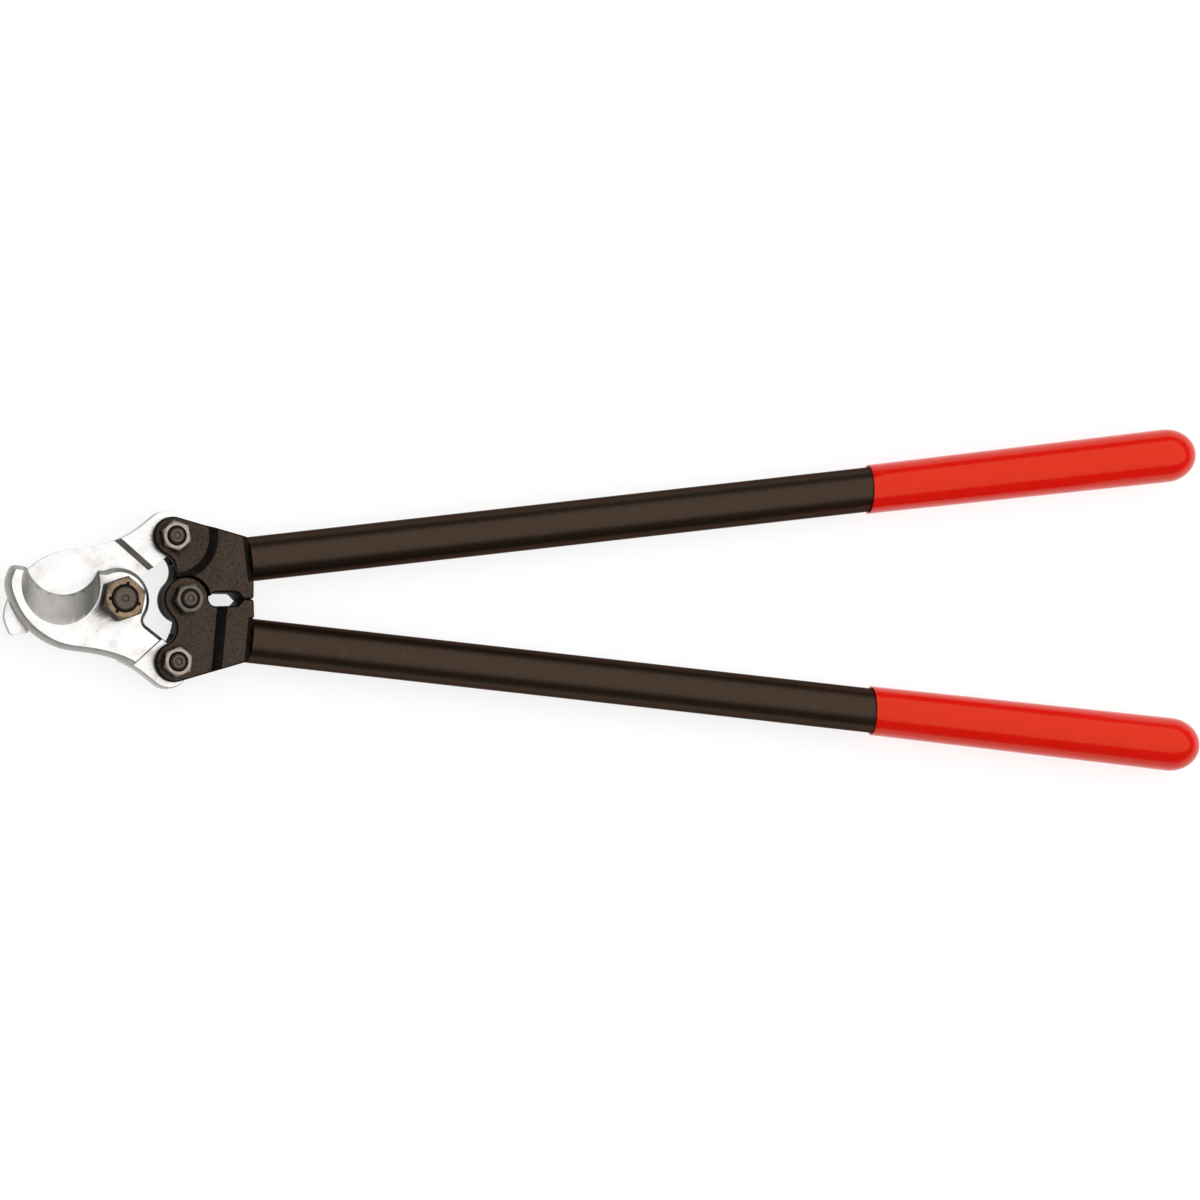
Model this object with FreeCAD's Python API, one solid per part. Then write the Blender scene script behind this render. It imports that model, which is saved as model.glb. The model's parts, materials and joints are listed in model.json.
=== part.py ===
import FreeCAD, Part
import math
import os

from FreeCAD import Vector

# Two-handed cutters with hooked shear blades and a toggle linkage, modelled closed.
# Lengths are in mm and angles in degrees.
#
# The pieces are first drawn about the centre pivot: X runs from the jaws to the grips, Y across
# the tool, and Z up through it, with the blades sliding on each other at Z = 0. The finished
# tool is then moved so that it lies on Z = 0 with the middle of its footprint at the origin.
#
# The lower half's blade is in front (Z > 0). The upper half's blade and handle head are the same
# forgings as the lower half's, turned half a turn about X.

# ---- linkage, with the tool closed ----
HINGE_X = 32.6            # handle hinge behind the centre pivot
LINK_X = 26.4             # link bolts behind the centre pivot
LINK_Y = 30.1             # link bolts either side of the middle line
HANDLE_ANGLE = 6.25       # each handle from the middle line
HANDLE_X = 64.0           # where each tube meets its head
HANDLE_Y = 19.3
HANDLE_REACH = 474.0      # from the head to the end of the grip, along the handle

# ---- fits ----
RUNNING_FIT = 0.05        # radial room of a turning bolt in its bore
PIVOT_PLAY = 3.0          # radial room round the centre bolt in the rear blade
LAYER_GAP = 0.1           # between faces that slide on each other

# ---- blades ----
JAW_THICKNESS = 6.5       # from the shear face to the outer face
TAIL_THICKNESS = 8.0
BOSS_R = 15.2             # round the centre pivot
HOLLOW_X = -26.2          # the cutting edge is an arc about this point
HOLLOW_Y = 21.2
HOLLOW_R = 18.5
GRIND_X = -28.9           # where the ground bevel leaves the outer face
GRIND_Y = 7.2
GRIND_R = 19.4
TIP_WALL = 8.0            # blade width outside the cutting edge, at the tip
HOOK_WALL = 13.0          # and a little way down the hook
HOOK_GROWTH = 0.2         # more width for each degree round the hook
HOOK_START = 203.0
HOOK_END = 283.0
HOOK_POINTS = 6
TIP_ANGLE = 189.5
TIP_SLANT = 8.0           # degrees between the tip's outer and inner corners
TIP_ROUND = 2.5
HEEL_ANGLE = 114.0        # where the boss meets the side of the hollow
TAIL_ANGLE = -38.0        # the sides of the tail
TAIL_END_R = 9.5
TAIL_OFFSET = 3.5         # the round end's centre, outward from the link bolt
TAIL_STRAIGHT = 8.5       # straight part of the outer side before the round end
TAIL_ROUND = 3.0          # inside corner between boss and tail
STEP_ANGLE = -49.0        # the steps between jaw and tail lie square to this direction
INNER_STEP = 21.0         # shear-face step from the centre pivot
INNER_STEP_RUN = 2.2
OUTER_STEP = 27.3         # outer-face step from the centre pivot
OUTER_STEP_RUN = 0.8
BLADE_BEVEL = 2.2         # bevel along the outer edge: width on the face
BLADE_BEVEL_DEPTH = 3.2   # and down the edge

# ---- handle heads ----
HUB_R = 10.8              # half-lap hub at the hinge
LUG_R = 9.4               # fork end at the link bolt
NECK_R = 8.5              # hollow between the hub and the lug
CHEEK_Z = 8.0             # outer faces of hub and cheeks
BODY_Z = 10.4             # outer faces of the thick part at the tube
HEAD_SET_IN = 0.4         # outer side of the head inside the tube's
SLOT_GAP = 0.1            # each side of the blade's tail
SLOT_ROOM = 0.6           # round the end of the blade's tail
POCKET_ROOM = 0.6         # round the other head's hub
NECK_ROOM_R = 16.5        # swept by the other head's neck
NECK_ROOM_ANGLE = 107.0   # and where that room ends, round the hinge
DISH_R = 17.5             # flat round the link bolt on one face
DISH_RUN = 4.0            # slope from that flat up to the thick part
RAMP_START = 18.2         # slope on the other face, measured back from the tube
RAMP_END = 13.6
SHOULDER_RUN = 3.0        # slope down to the tube
SHOULDER_DROP = 2.6
WAIST_HALF = 3.3          # half the height of the gap between hub and stop
GAP_ROUND = 3.0
HUB_ROUND = 3.5           # corner between the hub and that gap
STOP_END = 1.0            # the stop's end past the tube's
STOP_LENGTH = 5.0         # where the two heads meet
STOP_RUN = 3.0
STOP_GAP = 0.1
STOP_ROUND = 1.5
HEAD_EDGE = 0.7           # broken outer edges

# ---- handles ----
TUBE_R = 10.65
TUBE_WALL = 2.6
SPIGOT_LENGTH = 30.0
SPIGOT_ROOT = 4.0         # how deep the spigot is rooted in the head
SPIGOT_ROOM = 0.02
TUBE_EDGE = 0.5
GRIP_X = 372.3            # the dipped grip starts at this distance behind the centre pivot
GRIP_START_WALL = 0.85    # thickness of the dipped coat where it starts
GRIP_WALL = 2.1           # and where its dome begins
GRIP_DOME = 15.0
GRIP_END_WALL = 2.6
PLUG_LENGTH = 12.0

# ---- fasteners: an M12 centre bolt, and three M8 bolts in the heads ----
PIVOT_R = 6.0
PIVOT_FLATS = 19.0
PIVOT_NUT_H = 10.0
PIVOT_HEAD_H = 7.5
PIVOT_WASHER_R = 12.0
PIVOT_WASHER_H = 2.5
LINK_R = 4.0
LINK_FLATS = 13.0
LINK_NUT_H = 6.5
LINK_HEAD_H = 5.3
LINK_WASHER_R = 8.0
LINK_WASHER_H = 1.6
BOLT_TIP = 0.8            # a bolt's end beyond its nut
TIP_CHAMFER = 1.0
STAKE_R = 7.3             # ring of punch marks that lock the centre nut
STAKE_MARK = 0.9          # depth of a mark
STAKE_SLOPE = 1.0         # its radius for each mm of depth
STAKE_ANGLES = (78.0, 180.0, 237.0, 339.0)
HEX_FACE = 0.95           # a nut's round face, as a share of its flats
HEX_SLOPE = 30.0          # slope of its broken corners
NUT_SINK = 0.8            # its countersink: width and depth
PIVOT_NUT_TURN = 19.0     # how far round the nuts and bolts stand
PIVOT_BOLT_TURN = 5.0
HINGE_TURN = 8.0
UPPER_LINK_TURN = 40.0
LOWER_LINK_TURN = 22.0
HEAD_TURN = 20.0          # a small bolt's head against its nut

FAR = 300.0               # longer than any piece that a cutting tool passes through
CLEAR = 2.0               # how far a cutting tool runs past a face
TOUCH = 0.001             # two heights this close are the same
NEAR = 0.05               # and two places


def polar(angle, length=1.0):
    """A vector in the plane of the tool."""
    turn = math.radians(angle)
    return Vector(length * math.cos(turn), length * math.sin(turn), 0)


# ---- places that follow from the sizes ----
UP = Vector(0, 0, 1)
CENTRE = Vector(0, 0, 0)
HINGE = Vector(HINGE_X, 0, 0)
UPPER_LINK = Vector(LINK_X, LINK_Y, 0)
LOWER_LINK = Vector(LINK_X, -LINK_Y, 0)
HOLLOW = Vector(HOLLOW_X, HOLLOW_Y, 0)
HANDLE_DIR = polar(HANDLE_ANGLE)
HANDLE_SIDE = polar(HANDLE_ANGLE + 90)
HANDLE_END = Vector(HANDLE_X, HANDLE_Y, 0)
TUBE_END = HANDLE_REACH - GRIP_DOME
TUBE_BORE = TUBE_R - TUBE_WALL
GRIP_START_R = TUBE_R + GRIP_START_WALL
GRIP_END_R = TUBE_R + GRIP_WALL


def flipped(shape):
    """The same piece turned half a turn about X."""
    turned = shape.copy()
    turned.rotate(CENTRE, Vector(1, 0, 0), 180)
    return turned


def drum(radius, low, high, centre=CENTRE):
    """A cylinder about Z."""
    return Part.makeCylinder(radius, high - low, Vector(centre.x, centre.y, low))


def slab(section, along, origin=CENTRE, half_width=FAR):
    """A prism: its section is drawn along one direction of the plane and up Z."""
    across = along.cross(UP)
    points = [origin + along * run + UP * rise - across * half_width for run, rise in section]
    face = Part.Face(Part.makePolygon(points + points[:1]))
    return face.extrude(across * (2 * half_width))


def line(start, end):
    return Part.LineSegment(start, end).toShape()


def arc(centre, radius, start_angle, end_angle):
    """The arc through the angle halfway between its ends."""
    middle = (start_angle + end_angle) / 2
    ends = [centre + polar(angle, radius) for angle in (start_angle, middle, end_angle)]
    return Part.Arc(*ends).toShape()


def edges_upright_at(shape, places):
    """The edges along Z that stand at the given places of the plane."""
    found = []
    for edge in shape.Edges:
        box = edge.BoundBox
        if max(box.XLength, box.YLength) > TOUCH:
            continue
        here = Vector(box.XMin, box.YMin, 0)
        if min(here.distanceToPoint(place) for place in places) < NEAR:
            found.append(edge)
    return found


def edges_flat_at(shape, height, keep):
    """The edges that lie at a height and whose middle passes the test."""
    found = []
    for edge in shape.Edges:
        box = edge.BoundBox
        if max(abs(box.ZMin - height), abs(box.ZMax - height)) > TOUCH:
            continue
        middle = edge.valueAt((edge.FirstParameter + edge.LastParameter) / 2)
        if keep(middle):
            found.append(edge)
    return found


# ---------------------------------------------------------------- blades

def hook_point(angle):
    """A point on the outer edge of the hook, by its angle about the hollow's centre."""
    wall = HOOK_WALL + HOOK_GROWTH * (angle - HOOK_START)
    return HOLLOW + polar(angle, HOLLOW_R + wall)


def blade_forging():
    """The front blade before its bores: jaw in front of the shear face, tail astride it."""
    along = polar(TAIL_ANGLE)
    outward = polar(TAIL_ANGLE - 90)
    tail_centre = LOWER_LINK + outward * TAIL_OFFSET
    tail_outer = tail_centre + outward * TAIL_END_R
    tail_inner = tail_centre - outward * TAIL_END_R
    bend = tail_outer - along * TAIL_STRAIGHT
    tip = HOLLOW + polar(TIP_ANGLE, HOLLOW_R + TIP_WALL)
    tip_inner = HOLLOW + polar(TIP_ANGLE + TIP_SLANT, HOLLOW_R)
    heel = polar(HEEL_ANGLE, BOSS_R)

    # The tail's inner side runs straight in to the boss.
    offset = tail_inner.dot(outward)
    run_in = math.sqrt(BOSS_R ** 2 - offset ** 2)
    notch = along * run_in + outward * offset
    notch_angle = math.degrees(math.atan2(notch.y, notch.x))

    hook_step = (HOOK_END - HOOK_START) / (HOOK_POINTS - 1)
    hook = [hook_point(HOOK_END - k * hook_step) for k in range(HOOK_POINTS)]
    outer_edge = Part.BSplineCurve()
    outer_edge.interpolate([bend] + hook + [tip], InitialTangent=along * -1,
                           FinalTangent=(tip - hook[-1]).normalize(), Scale=True)

    outline = Part.Wire([
        line(tip, tip_inner),
        line(tip_inner, heel),
        arc(CENTRE, BOSS_R, HEEL_ANGLE, notch_angle),
        line(notch, tail_inner),
        arc(tail_centre, TAIL_END_R, TAIL_ANGLE + 90, TAIL_ANGLE - 90),
        line(tail_outer, bend),
        outer_edge.toShape(),
    ])
    low = -TAIL_THICKNESS / 2
    outline.translate(UP * low)
    blade = Part.Face(outline).extrude(UP * (JAW_THICKNESS - low))
    blade = blade.makeFillet(TAIL_ROUND, edges_upright_at(blade, [notch]))
    blade = blade.makeFillet(TIP_ROUND, edges_upright_at(blade, [tip]))

    # The bevel runs along the whole outer edge, from the tip to the end of the tail.
    def outside(point):
        beyond_tail = (point - tail_centre).dot(along) > 0
        behind = point.dot(outward) > offset + TAIL_END_R
        hooked = (point - HOLLOW).Length > HOLLOW_R + TIP_WALL / 2 and point.x < HOLLOW_X
        return beyond_tail or behind or hooked

    rim = edges_flat_at(blade, JAW_THICKNESS, outside)
    blade = blade.makeChamfer(BLADE_BEVEL_DEPTH, BLADE_BEVEL, rim)

    # Shear face under the jaw, with a sloped step down to the tail.
    face = LAYER_GAP / 2
    step = polar(STEP_ANGLE)
    under_jaw = slab([
        (-FAR, face),
        (INNER_STEP, face),
        (INNER_STEP + INNER_STEP_RUN, low),
        (INNER_STEP + INNER_STEP_RUN, low - CLEAR),
        (-FAR, low - CLEAR),
    ], step)
    over_tail = slab([
        (OUTER_STEP, JAW_THICKNESS + CLEAR),
        (OUTER_STEP, JAW_THICKNESS),
        (OUTER_STEP + OUTER_STEP_RUN, TAIL_THICKNESS / 2),
        (FAR, TAIL_THICKNESS / 2),
        (FAR, JAW_THICKNESS + CLEAR),
    ], step)
    blade = blade.cut(under_jaw).cut(over_tail)

    # The hollow is ground from the outer face down to the cutting edge.
    grind = Vector(GRIND_X, GRIND_Y, 0)
    rings = []
    for rise in (-CLEAR, JAW_THICKNESS + CLEAR):
        share = rise / JAW_THICKNESS
        centre = HOLLOW + (grind - HOLLOW) * share + UP * rise
        radius = HOLLOW_R + (GRIND_R - HOLLOW_R) * share
        rings.append(Part.Wire(Part.makeCircle(radius, centre)))
    return blade.cut(Part.makeLoft(rings, True, True))


def bored(shape, centre, radius):
    return shape.cut(drum(radius, -FAR, FAR, centre))


def make_blades():
    forging = blade_forging()
    lower = bored(forging, LOWER_LINK, LINK_R + RUNNING_FIT)
    upper = flipped(lower)
    return {
        "lower_blade": bored(lower, CENTRE, PIVOT_R + RUNNING_FIT),
        "upper_blade": bored(upper, CENTRE, PIVOT_R + PIVOT_PLAY),
    }


# ---------------------------------------------------------------- handle heads

def head_outline():
    """The upper head's outline: lug, neck, hub, gap, stop and the end that takes the tube."""
    outer_corner = HANDLE_END + HANDLE_SIDE * (TUBE_R - HEAD_SET_IN)
    to_lug = UPPER_LINK - outer_corner
    lug_angle = math.degrees(math.atan2(-to_lug.y, -to_lug.x) + math.acos(LUG_R / to_lug.Length))
    lug_top = UPPER_LINK + polar(lug_angle, LUG_R)

    # The neck is an arc that touches the hub and the lug from outside.
    span = UPPER_LINK - HINGE
    from_hub = HUB_R + NECK_R
    from_lug = LUG_R + NECK_R
    along = (from_hub ** 2 - from_lug ** 2 + span.Length ** 2) / (2 * span.Length)
    aside = math.sqrt(from_hub ** 2 - along ** 2)
    span_angle = math.degrees(math.atan2(span.y, span.x))
    neck = HINGE + polar(span_angle, along) + polar(span_angle + 90, aside)
    to_hub = math.degrees(math.atan2(HINGE.y - neck.y, HINGE.x - neck.x))
    to_lug_angle = math.degrees(math.atan2(UPPER_LINK.y - neck.y, UPPER_LINK.x - neck.x))

    gap_start = HINGE + Vector(math.sqrt(HUB_R ** 2 - WAIST_HALF ** 2), WAIST_HALF, 0)
    gap_angle = math.degrees(math.atan2(gap_start.y, gap_start.x - HINGE_X))
    end_x = HANDLE_X + STOP_END
    stop_y = STOP_GAP / 2
    stop_start = Vector(end_x - STOP_LENGTH, stop_y, 0)
    gap_end = Vector(stop_start.x - STOP_RUN, WAIST_HALF, 0)
    stop_end = Vector(end_x, stop_y, 0)
    inner_corner = HANDLE_END - HANDLE_SIDE * TUBE_R
    return Part.Wire([
        line(outer_corner, lug_top),
        arc(UPPER_LINK, LUG_R, lug_angle, to_lug_angle + 180),
        arc(neck, NECK_R, to_lug_angle, to_hub),
        arc(HINGE, HUB_R, to_hub + 180, gap_angle + 360),
        line(gap_start, gap_end),
        line(gap_end, stop_start),
        line(stop_start, stop_end),
        line(stop_end, inner_corner),
        line(inner_corner, outer_corner),
    ]), gap_start, gap_end, stop_end


def head_plate(half_thickness):
    """The head's outline as a plate with broken edges on both faces."""
    outline, gap_start, gap_end, stop_end = head_outline()
    outline.translate(UP * -half_thickness)
    plate = Part.Face(outline).extrude(UP * (2 * half_thickness))
    plate = plate.makeFillet(HUB_ROUND, edges_upright_at(plate, [gap_start]))
    plate = plate.makeFillet(GAP_ROUND, edges_upright_at(plate, [gap_end]))
    plate = plate.makeFillet(STOP_ROUND, edges_upright_at(plate, [stop_end]))

    def anywhere(point):
        return True

    rims = edges_flat_at(plate, half_thickness, anywhere)
    rims += edges_flat_at(plate, -half_thickness, anywhere)
    return plate.makeChamfer(HEAD_EDGE, rims)


def head_forging():
    """The upper head. Its hub is the rear half of the lap, and the dished face is in front."""
    rise = BODY_Z - CHEEK_Z

    # The thick part leaves a round flat about the link bolt in front, with a slope up from it.
    dish_rim = DISH_R + DISH_RUN * (rise + CLEAR) / rise
    dish = Part.makeCone(DISH_R, dish_rim, rise + CLEAR, UPPER_LINK + UP * CHEEK_Z)
    thick = head_plate(BODY_Z).cut(dish).cut(drum(DISH_R, 0, CHEEK_Z, UPPER_LINK))

    # At the rear it stops at a slope square to the handle.
    thick = thick.cut(slab([
        (-FAR, 0),
        (-RAMP_START, 0),
        (-RAMP_START, -CHEEK_Z),
        (-RAMP_END, -BODY_Z),
        (-RAMP_END, -BODY_Z - CLEAR),
        (-FAR, -BODY_Z - CLEAR),
    ], HANDLE_DIR, HANDLE_END))
    head = head_plate(CHEEK_Z).fuse(thick)

    # Both faces slope down to the tube.
    shoulder_low = BODY_Z - SHOULDER_DROP * (1 + CLEAR / SHOULDER_RUN)
    for side in (1, -1):
        head = head.cut(slab([
            (-SHOULDER_RUN, side * BODY_Z),
            (CLEAR, side * shoulder_low),
            (CLEAR, side * (BODY_Z + CLEAR)),
            (-SHOULDER_RUN, side * (BODY_Z + CLEAR)),
        ], HANDLE_DIR, HANDLE_END, TUBE_R))

    # Slot for the blade's tail, open towards the jaws.
    slot_half = TAIL_THICKNESS / 2 + SLOT_GAP
    slot_r = TAIL_OFFSET + TAIL_END_R + SLOT_ROOM
    inner_side = TAIL_END_R - TAIL_OFFSET + SLOT_ROOM
    head = head.cut(drum(slot_r, -slot_half, slot_half, UPPER_LINK))
    towards_jaws = polar(180 - TAIL_ANGLE)
    inward = polar(90 - TAIL_ANGLE + 180)
    corners = [
        UPPER_LINK + inward * inner_side,
        UPPER_LINK + inward * inner_side + towards_jaws * FAR,
        UPPER_LINK - inward * slot_r + towards_jaws * FAR,
        UPPER_LINK - inward * slot_r,
    ]
    floor = [corner - UP * slot_half for corner in corners]
    mouth = Part.Face(Part.makePolygon(floor + floor[:1])).extrude(UP * (2 * slot_half))
    head = head.cut(mouth)

    # The front half of the lap is cut away for the other head's hub and neck.
    lap = -LAYER_GAP / 2
    head = head.cut(drum(HUB_R + POCKET_ROOM, lap, FAR, HINGE))
    neck_room = drum(NECK_ROOM_R, lap, FAR, HINGE)
    kept = Part.makeBox(FAR, 2 * FAR, 2 * FAR, Vector(HINGE_X, -FAR, -FAR))
    kept.rotate(HINGE, UP, NECK_ROOM_ANGLE - 90)
    head = head.cut(neck_room.cut(kept))

    spigot = Part.makeCylinder(TUBE_BORE - SPIGOT_ROOM, SPIGOT_ROOT + SPIGOT_LENGTH,
                               HANDLE_END - HANDLE_DIR * SPIGOT_ROOT, HANDLE_DIR)
    head = head.fuse(spigot).removeSplitter()
    return bored(head, UPPER_LINK, LINK_R + RUNNING_FIT)


def make_heads():
    upper = bored(head_forging(), HINGE, LINK_R + RUNNING_FIT)
    return {"upper_head": upper, "lower_head": flipped(upper)}


# ---------------------------------------------------------------- tubes, plugs and grips

def spun(outline):
    """A piece turned about the upper handle's axis. Its outline is (distance, radius) edges."""
    closed = Part.Wire(Part.__sortEdges__(outline))
    solid = Part.Face(closed).revolve(CENTRE, Vector(1, 0, 0), 360)
    solid.rotate(CENTRE, UP, HANDLE_ANGLE)
    solid.translate(HANDLE_END)
    return solid


def path(points):
    """Straight lines from point to point, each a (distance, radius) pair."""
    ends = [Vector(along, radius, 0) for along, radius in points]
    return [line(ends[k], ends[k + 1]) for k in range(len(ends) - 1)]


def dome(start, length, radius):
    """A quarter of an oval, from the radius at its start down to the axis."""
    reach = 4 / 3 * (math.sqrt(2) - 1)
    curve = Part.BezierCurve()
    curve.setPoles([
        Vector(start, radius, 0),
        Vector(start + length * reach, radius, 0),
        Vector(start + length, radius * reach, 0),
        Vector(start + length, 0, 0),
    ])
    return curve.toShape()


def handle_tube():
    return spun(path([
        (0.0, TUBE_BORE),
        (0.0, TUBE_R - TUBE_EDGE),
        (TUBE_EDGE, TUBE_R),
        (TUBE_END, TUBE_R),
        (TUBE_END, TUBE_BORE),
        (0.0, TUBE_BORE),
    ]))


def end_plug():
    """Closes the tube under the grip, with a domed end."""
    bore = TUBE_BORE - SPIGOT_ROOM
    rim = TUBE_R - SPIGOT_ROOM
    length = GRIP_DOME - GRIP_END_WALL - SPIGOT_ROOM
    start = TUBE_END - PLUG_LENGTH
    outline = path([(start, 0.0), (start, bore), (TUBE_END, bore), (TUBE_END, rim)])
    outline.append(dome(TUBE_END, length, rim))
    outline += path([(TUBE_END + length, 0.0), (start, 0.0)])
    return spun(outline)


def dipped_grip():
    """A soft coat over the tube and its plug, thicker towards a domed end."""
    start = (GRIP_X - HANDLE_X) / math.cos(math.radians(HANDLE_ANGLE)) - 2 * GRIP_END_R
    inner_dome = GRIP_DOME - GRIP_END_WALL
    outline = path([(HANDLE_REACH, 0.0), (TUBE_END + inner_dome, 0.0)])
    outline.append(dome(TUBE_END, inner_dome, TUBE_R))
    outline += path([(TUBE_END, TUBE_R), (start, TUBE_R), (start, GRIP_START_R),
                     (TUBE_END, GRIP_END_R)])
    outline.append(dome(TUBE_END, GRIP_DOME, GRIP_END_R))
    coat = spun(outline)
    undipped = Part.makeBox(FAR, 2 * FAR, FAR, Vector(GRIP_X - FAR, -FAR, -FAR / 2))
    return coat.cut(undipped)


def make_handles():
    parts = {}
    for name, piece in (("tube", handle_tube()), ("plug", end_plug()), ("grip", dipped_grip())):
        parts["upper_" + name] = piece
        parts["lower_" + name] = flipped(piece)
    return parts


# ---------------------------------------------------------------- fasteners

def hexagon(flats, low, high, turn=0.0):
    """A hexagonal prism whose corners are broken by a cone at both faces."""
    corner_r = flats / math.sqrt(3)
    face_r = flats / 2 * HEX_FACE
    corners = [polar(turn + 60 * k, corner_r) + UP * low for k in range(6)]
    prism = Part.Face(Part.makePolygon(corners + corners[:1])).extrude(UP * (high - low))
    outside = corner_r + CLEAR
    drop = (outside - face_r) * math.tan(math.radians(HEX_SLOPE))
    for height, side in ((high, 1), (low, -1)):
        ring = Part.makePolygon([
            Vector(face_r, 0, height),
            Vector(outside, 0, height),
            Vector(outside, 0, height - side * drop),
            Vector(face_r, 0, height),
        ])
        prism = prism.cut(Part.Face(ring).revolve(CENTRE, UP, 360))
    return prism


def nut(flats, shank_r, low, height, turn):
    """A plain nut, countersunk at both faces."""
    high = low + height
    bore_r = shank_r + RUNNING_FIT
    mouth_r = bore_r + NUT_SINK
    solid = bored(hexagon(flats, low, high, turn), CENTRE, bore_r)
    solid = solid.cut(Part.makeCone(bore_r, mouth_r, NUT_SINK, UP * (high - NUT_SINK)))
    return solid.cut(Part.makeCone(mouth_r, bore_r, NUT_SINK, UP * low))


def bolt(flats, shank_r, head_low, head_height, tip, turn):
    """A hexagon-head bolt with its head at the rear and a chamfered end in front."""
    head = hexagon(flats, head_low, head_low + head_height, turn)
    chamfer_low = tip - TIP_CHAMFER
    shank = drum(shank_r, head_low + head_height / 2, chamfer_low)
    end = Part.makeCone(shank_r, shank_r - TIP_CHAMFER, TIP_CHAMFER, UP * chamfer_low)
    return head.fuse([shank, end]).removeSplitter()


def washer(outer_r, shank_r, low, height):
    return bored(drum(outer_r, low, low + height), CENTRE, shank_r + RUNNING_FIT)


def pivot_fasteners():
    """Bolt, washer and nut through both blades. The nut is locked by punch marks."""
    nut_high = JAW_THICKNESS + PIVOT_NUT_H
    washer_low = -JAW_THICKNESS - LAYER_GAP / 2 - PIVOT_WASHER_H
    locked = nut(PIVOT_FLATS, PIVOT_R, JAW_THICKNESS, PIVOT_NUT_H, PIVOT_NUT_TURN)
    for angle in STAKE_ANGLES:
        above = nut_high + STAKE_MARK
        point = polar(angle, STAKE_R) + UP * (nut_high - STAKE_MARK)
        mark = Part.makeCone(0, STAKE_SLOPE * 2 * STAKE_MARK, above - point.z, point)
        locked = locked.cut(mark)
    return {
        "pivot_bolt": bolt(PIVOT_FLATS, PIVOT_R, washer_low - PIVOT_HEAD_H, PIVOT_HEAD_H,
                           nut_high + BOLT_TIP, PIVOT_BOLT_TURN),
        "pivot_nut": locked,
        "pivot_washer": washer(PIVOT_WASHER_R, PIVOT_R, washer_low, PIVOT_WASHER_H),
    }


def head_fasteners(name, centre, turn):
    """Bolt, washer and nut through a handle head."""
    washer_low = -CHEEK_Z - LINK_WASHER_H
    parts = {
        name + "_bolt": bolt(LINK_FLATS, LINK_R, washer_low - LINK_HEAD_H, LINK_HEAD_H,
                             CHEEK_Z + LINK_NUT_H + BOLT_TIP, turn + HEAD_TURN),
        name + "_nut": nut(LINK_FLATS, LINK_R, CHEEK_Z, LINK_NUT_H, turn),
        name + "_washer": washer(LINK_WASHER_R, LINK_R, washer_low, LINK_WASHER_H),
    }
    for piece in parts.values():
        piece.translate(centre)
    return parts


# ---------------------------------------------------------------- the whole tool

def make_tool():
    parts = {}
    parts.update(make_blades())
    parts.update(pivot_fasteners())
    parts.update(make_heads())
    parts.update(head_fasteners("hinge", HINGE, HINGE_TURN))
    parts.update(head_fasteners("upper_link", UPPER_LINK, UPPER_LINK_TURN))
    parts.update(head_fasteners("lower_link", LOWER_LINK, LOWER_LINK_TURN))
    parts.update(make_handles())
    return parts


def laid_on_bench(parts):
    """Move the tool so that it rests on Z = 0, with the middle of its footprint at the origin."""
    box = FreeCAD.BoundBox()
    for piece in parts.values():
        box.add(piece.optimalBoundingBox(False))
    shift = Vector(-(box.XMin + box.XMax) / 2, -(box.YMin + box.YMax) / 2, -box.ZMin)
    for piece in parts.values():
        piece.translate(shift)
    return shift


def main():
    os.makedirs("parts", exist_ok=True)
    parts = make_tool()
    shift = laid_on_bench(parts)
    print("centre pivot at", round(shift.x, 3), round(shift.y, 3), round(shift.z, 3))
    for name, piece in parts.items():
        solids = piece.Solids
        if len(solids) != 1 or not piece.isValid():
            print("CHECK", name, len(solids), "solids, valid:", piece.isValid())
        solids[0].exportStep("parts/" + name + ".step")
    print(len(parts), "pieces")


main()
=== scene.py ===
import json
import math

import bmesh
import bpy
from bpy.props import FloatProperty, FloatVectorProperty, IntProperty, PointerProperty
from mathutils import Matrix, Vector


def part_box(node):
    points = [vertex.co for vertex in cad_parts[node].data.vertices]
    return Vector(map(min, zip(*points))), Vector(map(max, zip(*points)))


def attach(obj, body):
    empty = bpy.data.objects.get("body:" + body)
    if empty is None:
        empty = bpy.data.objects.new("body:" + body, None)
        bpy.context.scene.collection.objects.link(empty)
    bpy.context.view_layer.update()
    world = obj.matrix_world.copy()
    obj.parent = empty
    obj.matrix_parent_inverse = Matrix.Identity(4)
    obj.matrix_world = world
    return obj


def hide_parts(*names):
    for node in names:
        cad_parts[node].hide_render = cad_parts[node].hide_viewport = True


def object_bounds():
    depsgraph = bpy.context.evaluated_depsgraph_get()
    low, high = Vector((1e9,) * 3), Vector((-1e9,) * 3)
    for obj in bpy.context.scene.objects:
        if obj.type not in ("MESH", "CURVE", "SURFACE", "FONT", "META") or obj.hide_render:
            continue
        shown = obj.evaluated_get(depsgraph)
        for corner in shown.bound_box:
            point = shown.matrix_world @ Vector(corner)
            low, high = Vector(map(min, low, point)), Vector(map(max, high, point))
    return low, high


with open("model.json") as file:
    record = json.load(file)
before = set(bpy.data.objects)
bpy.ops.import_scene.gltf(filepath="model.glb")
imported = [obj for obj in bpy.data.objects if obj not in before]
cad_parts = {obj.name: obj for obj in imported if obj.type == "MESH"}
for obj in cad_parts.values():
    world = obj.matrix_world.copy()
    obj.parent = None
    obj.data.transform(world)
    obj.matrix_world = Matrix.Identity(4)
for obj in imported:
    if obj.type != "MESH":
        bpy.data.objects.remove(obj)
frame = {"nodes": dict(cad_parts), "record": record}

bl_info = {
    "name": "Toggle Cutters",
    "version": (1, 0, 0),
    "blender": (4, 5, 0),
    "location": "View3D > Sidebar > Cutters",
    "description": "Two-handed cutters with shear blades, forged heads and dipped grips",
    "category": "Object",
}

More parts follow.
